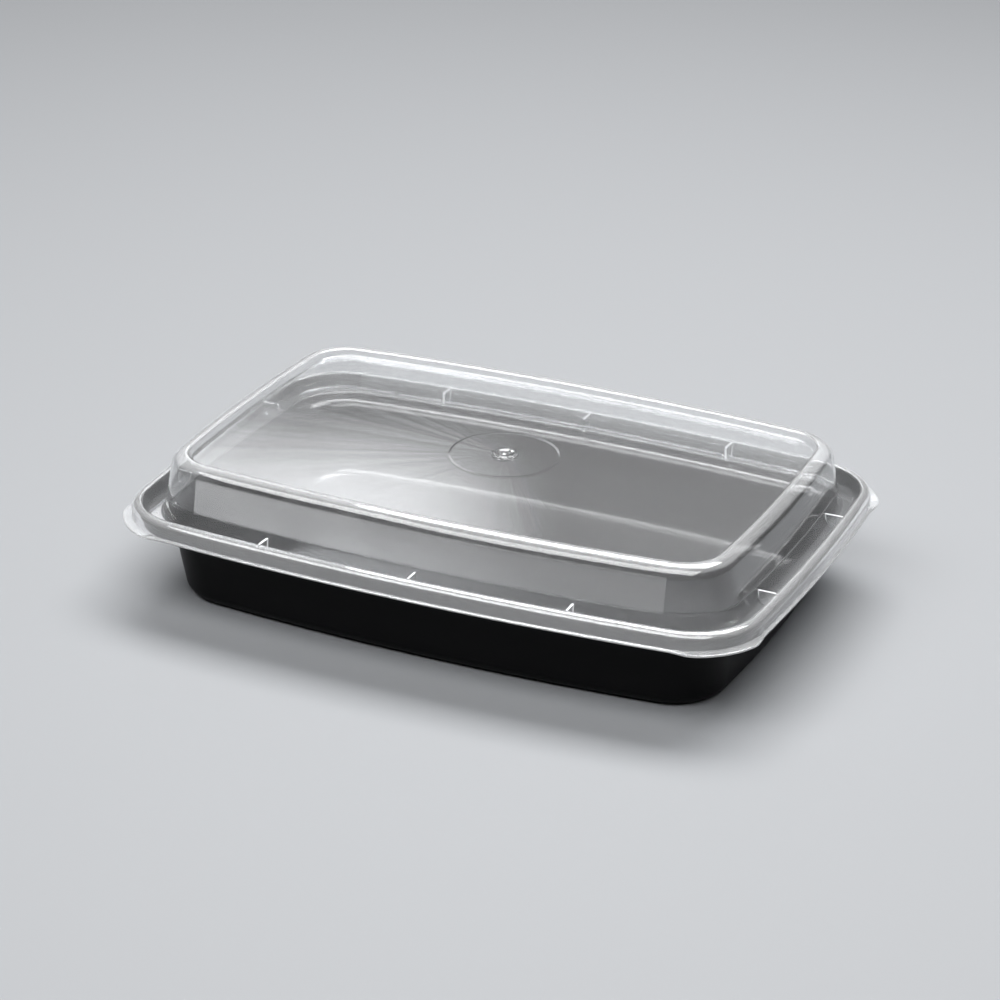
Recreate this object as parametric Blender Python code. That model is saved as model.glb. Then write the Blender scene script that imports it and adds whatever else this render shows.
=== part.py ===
"""Takeaway meal container: a black rectangular tray with a clear domed lid pressed into its rim."""
import math

import bmesh
import bpy

MM = 0.001

# Outline over the lid's flange. The four sides bow outwards a little between round corners.
LID_LENGTH = 222.0 * MM
LID_WIDTH = 152.4 * MM
FLANGE_CORNER_RADIUS = 27.9 * MM
LONG_SIDE_BOW = 3.75 * MM
SHORT_SIDE_BOW = 1.4 * MM

# Heights above the surface that the tray stands on
TRAY_DEPTH = 28.0 * MM
FLANGE_FOOT = TRAY_DEPTH
RIM_TOP = FLANGE_FOOT + 5.9 * MM
PANEL_HEIGHT = FLANGE_FOOT + 19.0 * MM
CREST_HEIGHT = FLANGE_FOOT + 21.4 * MM
GROOVE_FLOOR = FLANGE_FOOT + 0.9 * MM
LEDGE_HEIGHT = FLANGE_FOOT - 1.2 * MM

# Walls, the clearance between the two pieces, and the flat run of a sheet inside its first round
LID_WALL = 0.7 * MM
TRAY_WALL = 0.8 * MM
FIT_GAP = 0.3 * MM
FLAT_RUN = 2.0 * MM

# Lid section, as insets from the flange's outer edge
CREST_INSET = 17.1 * MM
CREST_ROUND = 4.8 * MM
CREST_INNER_ROUND = 1.0 * MM
CREST_FLAT = 0.2 * MM
PANEL_FOOT_INSET = 19.5 * MM
DOME_FOOT_INSET = 9.6 * MM
DOME_WALL_LEAN = 9.0
GROOVE_ROUND = 1.2 * MM
PLUG_FOOT_INSET = 5.6 * MM
PLUG_TOP_INSET = 4.5 * MM
RIM_INNER_ROUND = 0.8 * MM
RIM_OUTER_ROUND = 1.8 * MM
SKIRT_INSET = 0.9 * MM
SKIRT_FLARE = 0.1 * MM
LIP_HEIGHT = 0.9 * MM
LIP_THICKNESS = 0.6 * MM
LIP_EDGE = 0.1 * MM
LIP_EDGE_RUN = 0.25 * MM
SKIRT_FOOT_BEVEL = 0.2 * MM

# Corner radii that depart from a plain parallel outline
DOME_CORNER_EXTRA = 2.5 * MM
RIM_CORNER_EXTRA = -2.5 * MM
TRAY_CORNER_EXTRA = 6.2 * MM

# Tray section
TRAY_WALL_INSET = 12.7 * MM
TRAY_DRAFT = 0.10
TRAY_EDGE_ROUND = 4.0 * MM
LEDGE_ROUND = 3.5 * MM
TRAY_RIM_ROUND = 1.0 * MM
TRAY_HEAD_ROUND = 0.6 * MM
TRAY_LIP_RUN = 0.9 * MM
TRAY_LIP_END = 0.2 * MM
TRAY_LIP_DROP = 0.5 * MM

# Lift tabs: the lip reaches out round each corner
TAB_REACH = 2.0 * MM
TAB_BLEND = 0.25

# Ribs that cross the groove, and the round gate mark in the middle of the panel
RIB_THICKNESS = 0.7 * MM
RIB_DROP = 0.5 * MM
RIB_FOOT_BITE = 0.2 * MM
RIB_HEAD_BITE = 0.3 * MM
LONG_SIDE_RIBS = (-53.0 * MM, 0.0, 53.0 * MM)
SHORT_SIDE_RIBS = (-31.0 * MM, 31.0 * MM)
GATE_RADIUS = 4.4 * MM
GATE_HEIGHT = 0.7 * MM
GATE_DISH = 0.45 * MM
GATE_SIDES = 28

# The gate mark's section: shares of its radius, and drops below its crown
GATE_SHOULDER = (0.93, 0.25 * MM)
GATE_CROWN = (0.78, 0.0)
GATE_INNER_EDGE = (0.6, 0.15 * MM)
GATE_DISH_EDGE = (0.45, GATE_DISH)
GATE_DISH_MIDDLE = (0.25, GATE_DISH)
GATE_PIP = (0.15, 0.2 * MM)
GATE_SECTION = (GATE_SHOULDER, GATE_CROWN, GATE_INNER_EDGE, GATE_DISH_EDGE, GATE_DISH_MIDDLE, GATE_PIP)

# Segments round each outline
CORNER_SEGMENTS = 8
LONG_SIDE_SEGMENTS = 6
SHORT_SIDE_SEGMENTS = 4


def remove_everything():
    """Empty the scene before the pieces are made."""
    for item in list(bpy.data.objects):
        bpy.data.objects.remove(item, do_unlink=True)


def side_arc(half_chord, bow):
    """Radius and half angle of a bowed side."""
    radius = (half_chord ** 2 + bow ** 2) / (2 * bow)
    return radius, math.asin(half_chord / radius)


def tab_reach(share):
    """How far the lip stands out at a share of the way round a corner."""
    edge = min(share, 1 - share) / TAB_BLEND
    ramp = min(1.0, max(0.0, edge))
    return TAB_REACH * ramp * ramp * (3 - 2 * ramp)


def quarter(inset, extra, tabbed):
    """Points of the outline from the middle of the +X side to the middle of the +Y side."""
    radius = FLANGE_CORNER_RADIUS - inset + extra
    corner_x = LID_LENGTH / 2 - FLANGE_CORNER_RADIUS - SHORT_SIDE_BOW - extra
    corner_y = LID_WIDTH / 2 - FLANGE_CORNER_RADIUS - LONG_SIDE_BOW - extra
    short_radius, short_angle = side_arc(corner_y, SHORT_SIDE_BOW)
    long_radius, long_angle = side_arc(corner_x, LONG_SIDE_BOW)
    short_middle = corner_x + SHORT_SIDE_BOW - short_radius
    long_middle = corner_y + LONG_SIDE_BOW - long_radius
    points = []
    steps = SHORT_SIDE_SEGMENTS // 2
    reach = short_radius + radius
    for step in range(steps):
        turn = short_angle * step / steps
        points.append((short_middle + reach * math.cos(turn), reach * math.sin(turn)))
    start, end = short_angle, math.pi / 2 - long_angle
    for step in range(CORNER_SEGMENTS + 1):
        share = step / CORNER_SEGMENTS
        turn = start + (end - start) * share
        reach = radius + (tab_reach(share) if tabbed else 0.0)
        points.append((corner_x + reach * math.cos(turn), corner_y + reach * math.sin(turn)))
    steps = LONG_SIDE_SEGMENTS // 2
    reach = long_radius + radius
    for step in range(1, steps + 1):
        turn = long_angle * (1 - step / steps)
        points.append((reach * math.sin(turn), long_middle + reach * math.cos(turn)))
    return points


def outline(inset, extra=0.0, tabbed=False):
    """Closed outline, anticlockwise, at an inset from the flange's outer edge."""
    first = quarter(inset, extra, tabbed)
    second = [(-x, y) for x, y in reversed(first[:-1])]
    half = first + second
    return half + [(-x, -y) for x, y in half[1:-1]]


def arc(inset, height, radius, start, end, steps):
    """Section points on an arc. Angle 0 points outwards and 90 up."""
    points = []
    for step in range(steps + 1):
        turn = math.radians(start + (end - start) * step / steps)
        points.append((inset - radius * math.cos(turn), height + radius * math.sin(turn)))
    return points


def sheet_offset(section, thickness):
    """The section's other face, on the right-hand side of a walk outwards from the middle."""
    moved = []
    for index, (inset, height) in enumerate(section):
        directions = []
        for first, second in ((index - 1, index), (index, index + 1)):
            if first < 0 or second >= len(section):
                continue
            run = section[first][0] - section[second][0]
            rise = section[second][1] - section[first][1]
            size = math.hypot(run, rise)
            directions.append((run / size, rise / size))
        run = sum(item[0] for item in directions)
        rise = sum(item[1] for item in directions)
        size = math.hypot(run, rise)
        run, rise = run / size, rise / size
        lean = run * directions[0][0] + rise * directions[0][1]
        moved.append((inset - rise * thickness / lean, height - run * thickness / lean))
    return moved


def sheet_body(name, upper, lower):
    """Closed body swept round the outline. A station is (inset, height, corner extra, tabbed)."""
    mesh = bmesh.new()
    rings = []
    for inset, height, extra, tabbed in upper + lower[::-1]:
        rings.append([mesh.verts.new((x, y, height)) for x, y in outline(inset, extra, tabbed)])
    count = len(rings[0])
    for ring, following in zip(rings, rings[1:]):
        for index in range(count):
            beside = (index + 1) % count
            mesh.faces.new((ring[index], ring[beside], following[beside], following[index]))
    mesh.faces.new(rings[0])
    mesh.faces.new(rings[-1])
    bmesh.ops.recalc_face_normals(mesh, faces=mesh.faces)
    return finish(name, mesh)


def finish(name, mesh):
    """Turn a bmesh into a smooth shaded object in the scene."""
    data = bpy.data.meshes.new(name)
    mesh.to_mesh(data)
    mesh.free()
    data.shade_smooth()
    data.set_sharp_from_angle(angle=math.radians(35))
    item = bpy.data.objects.new(name, data)
    bpy.context.scene.collection.objects.link(item)
    return item


def lid_section():
    """Upper face of the lid in two stretches: panel, crest and dome wall, then plug, rim and skirt."""
    inner_top = CREST_HEIGHT - CREST_INNER_ROUND
    middle = [(PANEL_FOOT_INSET + FLAT_RUN, PANEL_HEIGHT)]
    panel = arc(PANEL_FOOT_INSET, PANEL_HEIGHT + CREST_INNER_ROUND, CREST_INNER_ROUND, -90, -30, 2)
    crest = arc(CREST_INSET + CREST_FLAT, inner_top, CREST_INNER_ROUND, 150, 90, 2)
    shoulder = arc(CREST_INSET, CREST_HEIGHT - CREST_ROUND, CREST_ROUND, 84, DOME_WALL_LEAN, 5)
    foot = arc(DOME_FOOT_INSET - GROOVE_ROUND, GROOVE_FLOOR + GROOVE_ROUND, GROOVE_ROUND,
               180 + DOME_WALL_LEAN, 270, 2)
    dome = middle + panel + crest + shoulder + foot
    plug = arc(PLUG_FOOT_INSET + GROOVE_ROUND, GROOVE_FLOOR + GROOVE_ROUND, GROOVE_ROUND, -90, -15, 2)
    top = arc(PLUG_TOP_INSET - RIM_INNER_ROUND, RIM_TOP - RIM_INNER_ROUND, RIM_INNER_ROUND, 165, 90, 2)
    outer = arc(SKIRT_INSET + RIM_OUTER_ROUND, RIM_TOP - RIM_OUTER_ROUND, RIM_OUTER_ROUND, 90, 0, 4)
    skirt = [(SKIRT_INSET - SKIRT_FLARE, FLANGE_FOOT + LIP_HEIGHT)]
    return dome, plug + top + outer + skirt


def lid_stations():
    """Upper and lower stations of the lid's sheet, out to the lip with its tabs."""
    dome, rim = lid_section()
    upper = dome + rim
    lower = sheet_offset(upper, LID_WALL)
    extras = [DOME_CORNER_EXTRA] * len(dome) + [RIM_CORNER_EXTRA] * len(rim)
    top = [(inset, height, extra, False) for (inset, height), extra in zip(upper, extras)]
    under = [(inset, height, extra, False) for (inset, height), extra in zip(lower, extras)]
    lip_top = FLANGE_FOOT + LIP_THICKNESS
    top.append((LIP_EDGE_RUN, lip_top + LIP_EDGE, RIM_CORNER_EXTRA, True))
    top.append((0.0, lip_top - LIP_EDGE, RIM_CORNER_EXTRA, True))
    skirt_inside = SKIRT_INSET + LID_WALL
    under[-1] = (skirt_inside, FLANGE_FOOT + SKIRT_FOOT_BEVEL, RIM_CORNER_EXTRA, False)
    under.append((skirt_inside - SKIRT_FOOT_BEVEL, FLANGE_FOOT, RIM_CORNER_EXTRA, False))
    under.append((0.0, FLANGE_FOOT, RIM_CORNER_EXTRA, True))
    return top, under


def wall_middle(height):
    """Inset of the middle of the dome wall's sheet at a height."""
    lean = math.radians(DOME_WALL_LEAN)
    face = DOME_FOOT_INSET + (height - GROOVE_FLOOR) * math.tan(lean)
    return face + LID_WALL / 2


def rib(name, place, along_long_side, sign):
    """Thin upright plate across the groove, square to the side it stands on."""
    bottom = GROOVE_FLOOR - LID_WALL / 2
    top = RIM_TOP - RIB_DROP
    profile = ((wall_middle(bottom), bottom), (PLUG_FOOT_INSET - RIB_FOOT_BITE, bottom),
               (PLUG_TOP_INSET - RIB_HEAD_BITE, top), (wall_middle(top), top))
    half_chord = LID_LENGTH / 2 if along_long_side else LID_WIDTH / 2
    bow = LONG_SIDE_BOW if along_long_side else SHORT_SIDE_BOW
    lean = side_arc(half_chord, bow)[1] * place / half_chord
    reach = LID_WIDTH / 2 if along_long_side else LID_LENGTH / 2
    drop = reach - side_arc(half_chord, bow)[0] * (1 - math.cos(lean))
    mesh = bmesh.new()
    faces = []
    for side in (-0.5, 0.5):
        ring = []
        for inset, height in profile:
            out = drop - inset * math.cos(lean) - side * RIB_THICKNESS * math.sin(lean)
            along = place - inset * math.sin(lean) + side * RIB_THICKNESS * math.cos(lean)
            spot = (along, sign * out) if along_long_side else (sign * out, along)
            ring.append(mesh.verts.new((*spot, height)))
        faces.append(ring)
    for index in range(4):
        beside = (index + 1) % 4
        mesh.faces.new((faces[0][index], faces[0][beside], faces[1][beside], faces[1][index]))
    mesh.faces.new(faces[0])
    mesh.faces.new(faces[1])
    bmesh.ops.recalc_face_normals(mesh, faces=mesh.faces)
    return finish(name, mesh)


def gate_mark(name):
    """Raised ring with a dished middle, turned about the panel's centre."""
    base = PANEL_HEIGHT - LID_WALL / 2
    crown = PANEL_HEIGHT + GATE_HEIGHT
    profile = [(GATE_RADIUS, base)]
    for share, drop in GATE_SECTION:
        profile.append((GATE_RADIUS * share, crown - drop))
    mesh = bmesh.new()
    rings = []
    for radius, height in profile:
        turns = [2 * math.pi * step / GATE_SIDES for step in range(GATE_SIDES)]
        rings.append([mesh.verts.new((radius * math.cos(t), radius * math.sin(t), height)) for t in turns])
    for ring, following in zip(rings, rings[1:]):
        for index in range(GATE_SIDES):
            beside = (index + 1) % GATE_SIDES
            mesh.faces.new((ring[index], ring[beside], following[beside], following[index]))
    mesh.faces.new(rings[0])
    mesh.faces.new(rings[-1])
    bmesh.ops.recalc_face_normals(mesh, faces=mesh.faces)
    return finish(name, mesh)


def join_by_union(body, additions):
    """Union the additions into the body with one Boolean, then remove them."""
    group = bpy.data.collections.new(body.name + "_additions")
    bpy.context.scene.collection.children.link(group)
    for item in additions:
        bpy.context.scene.collection.objects.unlink(item)
        group.objects.link(item)
    modifier = body.modifiers.new("union", "BOOLEAN")
    modifier.operation = "UNION"
    modifier.solver = "EXACT"
    modifier.operand_type = "COLLECTION"
    modifier.collection = group
    bpy.context.view_layer.update()
    result = bpy.data.meshes.new_from_object(body.evaluated_get(bpy.context.evaluated_depsgraph_get()))
    body.modifiers.clear()
    body.data = result
    for item in additions:
        bpy.data.objects.remove(item, do_unlink=True)
    bpy.data.collections.remove(group)


def make_lid():
    """Clear lid: recessed panel, raised crest, dome wall, groove with ribs, rim bead, lip and tabs."""
    upper, lower = lid_stations()
    body = sheet_body("lid", upper, lower)
    additions = [gate_mark("gate_mark")]
    for sign in (-1, 1):
        for number, place in enumerate(LONG_SIDE_RIBS):
            additions.append(rib(f"rib_long_{sign}_{number}", place, True, sign))
        for number, place in enumerate(SHORT_SIDE_RIBS):
            additions.append(rib(f"rib_short_{sign}_{number}", place, False, sign))
    join_by_union(body, additions)
    return body


def tray_wall_inset(height):
    """Inset of the tray wall's inner face at a height."""
    return TRAY_WALL_INSET + TRAY_WALL + TRAY_DRAFT * (FLANGE_FOOT - height)


def tray_section():
    """Inner face of the tray in two stretches: floor, wall and ledge, then rim and turned-out lip."""
    lean = math.degrees(math.atan(TRAY_DRAFT))
    floor = TRAY_WALL
    round_middle = floor + TRAY_EDGE_ROUND
    round_inset = tray_wall_inset(round_middle) + TRAY_EDGE_ROUND
    edge = [(round_inset + FLAT_RUN, floor)]
    edge += arc(round_inset, round_middle, TRAY_EDGE_ROUND, -90, -lean, 4)
    ledge_middle = LEDGE_HEIGHT - LEDGE_ROUND
    ledge = arc(tray_wall_inset(ledge_middle) - LEDGE_ROUND, ledge_middle, LEDGE_ROUND, 180 - lean, 90, 4)
    rim_foot = PLUG_FOOT_INSET - LID_WALL - FIT_GAP
    rim_head = PLUG_TOP_INSET - LID_WALL - FIT_GAP
    corner = arc(rim_foot + TRAY_RIM_ROUND, LEDGE_HEIGHT + TRAY_RIM_ROUND, TRAY_RIM_ROUND, -90, -14, 2)
    head_top = RIM_TOP - LID_WALL - FIT_GAP
    head = arc(rim_head - TRAY_HEAD_ROUND, head_top - TRAY_HEAD_ROUND, TRAY_HEAD_ROUND, 166, 90, 2)
    lip_out = SKIRT_INSET + LID_WALL + FIT_GAP
    lip = [(lip_out + TRAY_LIP_RUN, head_top), (lip_out + TRAY_LIP_END, head_top - TRAY_LIP_DROP)]
    return edge + ledge, corner + head + lip


def make_tray():
    """Black tray: flat floor, drafted walls, a ledge below the rim and a turned-out lip."""
    cup, rim = tray_section()
    upper = cup + rim
    lower = sheet_offset(upper, TRAY_WALL)
    extras = [TRAY_CORNER_EXTRA * (LEDGE_HEIGHT - height) / LEDGE_HEIGHT for _, height in cup]
    extras += [RIM_CORNER_EXTRA] * len(rim)
    top = [(inset, height, extra, False) for (inset, height), extra in zip(upper, extras)]
    under = [(inset, height, extra, False) for (inset, height), extra in zip(lower, extras)]
    return sheet_body("tray", top, under)


def plastic(name, color, roughness, transmission):
    """Principled material for one of the two plastics."""
    material = bpy.data.materials.new(name)
    material.use_nodes = True
    shader = material.node_tree.nodes["Principled BSDF"]
    shader.inputs["Base Color"].default_value = color
    shader.inputs["Roughness"].default_value = roughness
    shader.inputs["Metallic"].default_value = 0.0
    shader.inputs["Transmission Weight"].default_value = transmission
    return material


def main():
    """Build the container."""
    remove_everything()
    tray = make_tray()
    tray.data.materials.append(plastic("black_plastic", (0.012, 0.012, 0.013, 1.0), 0.35, 0.0))
    lid = make_lid()
    lid.data.materials.clear()
    lid.data.materials.append(plastic("clear_plastic", (0.90, 0.91, 0.91, 1.0), 0.12, 0.8))


main()
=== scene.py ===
"""Takeaway meal container: black tray and clear domed lid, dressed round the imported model."""
import math

import bmesh
import bpy
from mathutils import Matrix, Vector


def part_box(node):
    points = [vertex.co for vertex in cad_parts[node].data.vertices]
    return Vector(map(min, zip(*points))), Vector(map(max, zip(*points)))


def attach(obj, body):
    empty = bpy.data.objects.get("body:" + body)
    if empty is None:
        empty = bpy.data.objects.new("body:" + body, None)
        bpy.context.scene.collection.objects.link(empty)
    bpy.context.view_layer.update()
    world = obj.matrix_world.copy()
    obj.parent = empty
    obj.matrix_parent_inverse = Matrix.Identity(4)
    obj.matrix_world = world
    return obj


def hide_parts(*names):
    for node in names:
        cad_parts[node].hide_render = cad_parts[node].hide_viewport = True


bl_info = {
    "name": "Takeaway Meal Container",
    "version": (1, 0, 0),
    "blender": (4, 5, 0),
    "location": "View3D > Sidebar > Container",
    "description": "Builds a black meal tray with a clear domed lid, its plastics and a plain studio",
    "category": "Add Mesh",
}

MM = 0.001

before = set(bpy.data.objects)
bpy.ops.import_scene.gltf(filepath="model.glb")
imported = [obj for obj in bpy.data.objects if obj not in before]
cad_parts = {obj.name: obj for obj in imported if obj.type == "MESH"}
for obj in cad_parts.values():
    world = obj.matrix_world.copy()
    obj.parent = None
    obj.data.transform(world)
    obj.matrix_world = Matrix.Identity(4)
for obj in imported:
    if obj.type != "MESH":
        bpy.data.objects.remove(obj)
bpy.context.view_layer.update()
LID_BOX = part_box("lid")

# Segments round each outline
CORNER_SEGMENTS = 30
LONG_SIDE_SEGMENTS = 84
SHORT_SIDE_SEGMENTS = 50

# Steps of the panel between its edge, the flow ring and the gate mark
PANEL_STEPS = 6
RING_STEPS = 4

# Steps of the round edges, from the finest to the largest
HEAD_STEPS = 4
SMALL_STEPS = 5
GROOVE_STEPS = 6
RIM_STEPS = 10
TRAY_EDGE_STEPS = 12
SHOULDER_STEPS = 20

# Steps of the crest's shoulder where its milky edge ends and the milky wall starts, and steps of the wall.
# The extra milkiness of edge and wall is painted light, and the clear band between them shows dark as painted
# shade
CREST_STEPS = 12
BAND_STEPS = 18
WALL_STEPS = 14

# Numbers of the lid's plastics, in the order of its materials. They are copies of one clear plastic, made
# milkier on some parts as painted light
CLEAR_SLOT = 0
EDGE_SLOT = 1
WALL_SLOT = 2
RIB_SLOT = 3
BACK_SLOT = 4

# Plastics of the lid's parts: panel, crest, clear band, upper wall, lower wall, plug's foot, plug's wall,
# rim. The milkier crest, walls and rim are painted light; the clear band shows dark as painted shade
LID_SLOTS = (CLEAR_SLOT, EDGE_SLOT, CLEAR_SLOT, WALL_SLOT, CLEAR_SLOT, CLEAR_SLOT, WALL_SLOT, EDGE_SLOT)

# Numbers of the tray's plastics
INSIDE_SLOT = 0
OUTSIDE_SLOT = 1


class ContainerSizes(bpy.types.PropertyGroup):
    """Sizes of the tray and the lid."""

    length: bpy.props.FloatProperty(
        name="Length", description="Length over the lid's flange",
        default=LID_BOX[1].x - LID_BOX[0].x, unit="LENGTH")
    width: bpy.props.FloatProperty(
        name="Width", description="Width over the lid's flange",
        default=LID_BOX[1].y - LID_BOX[0].y, unit="LENGTH")
    corner_radius: bpy.props.FloatProperty(
        name="Corner radius", description="Radius of the flange's round corners",
        default=27.9 * MM, unit="LENGTH")
    long_bow: bpy.props.FloatProperty(
        name="Long side bow", description="How far the long sides bow outwards",
        default=3.75 * MM, unit="LENGTH")
    short_bow: bpy.props.FloatProperty(
        name="Short side bow", description="How far the short sides bow outwards",
        default=1.4 * MM, unit="LENGTH")
    flange: bpy.props.FloatProperty(
        name="Flange height", description="Height of the flange's underside above the base",
        default=LID_BOX[0].z, unit="LENGTH")
    crest: bpy.props.FloatProperty(
        name="Crest height", description="Height of the lid's crest above the base",
        default=LID_BOX[1].z, unit="LENGTH")
    panel_drop: bpy.props.FloatProperty(
        name="Panel drop", description="Depth of the top panel below the crest",
        default=2.4 * MM, unit="LENGTH")
    rim_rise: bpy.props.FloatProperty(
        name="Rim rise", description="Height of the rim bead above the flange",
        default=5.9 * MM, unit="LENGTH")
    groove_rise: bpy.props.FloatProperty(
        name="Groove rise", description="Height of the groove's floor above the flange",
        default=0.9 * MM, unit="LENGTH")
    ledge_drop: bpy.props.FloatProperty(
        name="Ledge drop", description="Depth of the tray's ledge below the flange",
        default=1.2 * MM, unit="LENGTH")
    lid_wall: bpy.props.FloatProperty(
        name="Lid wall", description="Thickness of the lid's sheet",
        default=0.7 * MM, unit="LENGTH")
    tray_wall: bpy.props.FloatProperty(
        name="Tray wall", description="Thickness of the tray's sheet",
        default=0.8 * MM, unit="LENGTH")
    fit_gap: bpy.props.FloatProperty(
        name="Fit gap", description="Clearance between the tray's rim and the lid's bead",
        default=0.3 * MM, unit="LENGTH")
    tab_reach: bpy.props.FloatProperty(
        name="Tab reach", description="How far the lip stands out at each corner",
        default=2.0 * MM, unit="LENGTH")
    rib_thickness: bpy.props.FloatProperty(
        name="Rib thickness", description="Thickness of the ribs that cross the groove",
        default=0.7 * MM, unit="LENGTH")
    gate_radius: bpy.props.FloatProperty(
        name="Gate radius", description="Radius of the round mark in the middle of the panel",
        default=4.4 * MM, unit="LENGTH")
    flow_ring_radius: bpy.props.FloatProperty(
        name="Flow ring radius", description="Radius of the faint step round the gate mark",
        default=17.7 * MM, unit="LENGTH")


class ContainerColours(bpy.types.PropertyGroup):
    """Colours and gloss of the two plastics."""

    tray_colour: bpy.props.FloatVectorProperty(
        name="Tray", description="Colour of the black plastic", subtype="COLOR", size=4,
        min=0.0, max=1.0, default=(0.0060, 0.0060, 0.0066, 1.0))
    lid_colour: bpy.props.FloatVectorProperty(
        name="Lid", description="Tint of the clear plastic", subtype="COLOR", size=4,
        min=0.0, max=1.0, default=(0.95, 0.955, 0.96, 1.0))
    lid_clearness: bpy.props.FloatProperty(
        name="Clearness", description="Share of light that passes the lid without being scattered",
        default=0.972, min=0.0, max=1.0, subtype="FACTOR")
    # Lower clearness makes a milkier copy of the lid's plastic; these copies brighten the crest, rim, lip,
    # walls and ribs as painted light
    edge_clearness_with_painted_light: bpy.props.FloatProperty(
        name="Edge clearness", description="Clearness of the crest, the rim and the lip",
        default=0.91, min=0.0, max=1.0, subtype="FACTOR")
    wall_clearness_with_painted_light: bpy.props.FloatProperty(
        name="Wall clearness", description="Clearness of the dome's front wall",
        default=0.82, min=0.0, max=1.0, subtype="FACTOR")
    back_clearness_with_painted_light: bpy.props.FloatProperty(
        name="Back clearness", description="Clearness of the dome's back wall",
        default=0.92, min=0.0, max=1.0, subtype="FACTOR")
    rib_clearness_with_painted_light: bpy.props.FloatProperty(
        name="Rib clearness", description="Clearness of the ribs",
        default=0.45, min=0.0, max=1.0, subtype="FACTOR")
    tray_roughness: bpy.props.FloatProperty(
        name="Tray roughness", description="Mean roughness of the tray's glossy inside",
        default=0.18, min=0.0, max=1.0, subtype="FACTOR")
    tray_outer_roughness: bpy.props.FloatProperty(
        name="Tray outer roughness", description="Mean roughness of the tray's satin outside",
        default=0.42, min=0.0, max=1.0, subtype="FACTOR")
    lid_roughness: bpy.props.FloatProperty(
        name="Lid roughness", description="Mean roughness of the lid",
        default=0.03, min=0.0, max=1.0, subtype="FACTOR")


class StudioSettings(bpy.types.PropertyGroup):
    """Floor, light and camera of the plain studio."""

    floor_colour: bpy.props.FloatVectorProperty(
        name="Floor", description="Colour of the floor", subtype="COLOR", size=4,
        min=0.0, max=1.0, default=(0.215, 0.221, 0.230, 1.0))
    world_light: bpy.props.FloatProperty(
        name="Room light", description="Strength of the even light from all round",
        default=0.06, min=0.0)
    back_glow: bpy.props.FloatProperty(
        name="Back glow", description="Strength of the wide soft glow behind the container",
        default=0.25, min=0.0)
    left_glow: bpy.props.FloatProperty(
        name="Left glow", description="Strength of the narrow soft glow behind the container's left end",
        default=3.1, min=0.0)
    top_light: bpy.props.FloatProperty(
        name="Top light", description="Power of the softbox above the container, in watts",
        default=26.0, min=0.0)
    front_light: bpy.props.FloatProperty(
        name="Front light", description="Power of the softbox above and in front of the container, in watts",
        default=22.0, min=0.0)
    azimuth: bpy.props.FloatProperty(
        name="Azimuth", description="Camera's turn round the container", subtype="ANGLE",
        default=math.radians(24.325))
    elevation: bpy.props.FloatProperty(
        name="Elevation", description="Camera's angle above the horizon", subtype="ANGLE",
        default=math.radians(24.758))
    roll: bpy.props.FloatProperty(
        name="Roll", description="Camera's turn about its own line of sight", subtype="ANGLE",
        default=math.radians(0.777))
    distance: bpy.props.FloatProperty(
        name="Distance", description="From the camera to the container's middle",
        default=1064.393 * MM, unit="LENGTH")
    slide_right: bpy.props.FloatProperty(
        name="Slide right", description="Camera's move to its own right",
        default=-1.2 * MM, unit="LENGTH")
    slide_up: bpy.props.FloatProperty(
        name="Slide up", description="Camera's move along its own up",
        default=2.362 * MM, unit="LENGTH")
    lens: bpy.props.FloatProperty(
        name="Lens", description="Focal length on a 36 mm sensor, in millimetres", default=117.09)


# Lid section, as insets from the flange's outer edge
CREST_INSET = 17.1 * MM
CREST_ROUND = 4.8 * MM
CREST_INNER_ROUND = 1.0 * MM
CREST_INNER_SLOPE = 30
CREST_TOP_ANGLE = 84
CREST_FLAT = 0.2 * MM
PANEL_FOOT_INSET = 19.5 * MM
DOME_FOOT_INSET = 9.6 * MM
DOME_WALL_LEAN = 9.0
GROOVE_ROUND = 1.2 * MM
PLUG_FOOT_INSET = 5.6 * MM
PLUG_TOP_INSET = 4.5 * MM
PLUG_LEAN = 15
RIM_INNER_ROUND = 0.8 * MM
RIM_OUTER_ROUND = 2.8 * MM
SKIRT_INSET = 0.9 * MM
SKIRT_FLARE = 0.1 * MM
SKIRT_FOOT_BEVEL = 0.2 * MM
LIP_HEIGHT = 0.9 * MM
LIP_THICKNESS = 0.6 * MM
LIP_EDGE = 0.1 * MM
LIP_EDGE_RUN = 0.25 * MM
TAB_BLEND = 0.25

# Thin ridge where the wall's milky part, painted light, ends: shares of its half height, and how far it
# stands out there
MILK_MARGIN = 0.7 * MM
RIDGE_HALF = 0.35 * MM
RIDGE_SECTION = ((-1.0, 0.0), (-0.5, 0.07 * MM), (0.0, 0.10 * MM), (0.5, 0.07 * MM), (1.0, 0.0))

# Corner radii that depart from a plain parallel outline
DOME_CORNER_EXTRA = 2.5 * MM
RIM_CORNER_EXTRA = -2.5 * MM
TRAY_CORNER_EXTRA = 6.2 * MM

# Tray section
TRAY_WALL_INSET = 12.7 * MM
TRAY_DRAFT = 0.10
TRAY_EDGE_ROUND = 4.0 * MM
LEDGE_ROUND = 3.5 * MM
TRAY_RIM_ROUND = 1.0 * MM
TRAY_RIM_LEAN = 14
TRAY_HEAD_ROUND = 0.6 * MM
TRAY_LIP_RUN = 0.9 * MM
TRAY_LIP_END = 0.2 * MM
TRAY_LIP_DROP = 0.5 * MM
FLAT_RUN = 2.0 * MM

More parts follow.
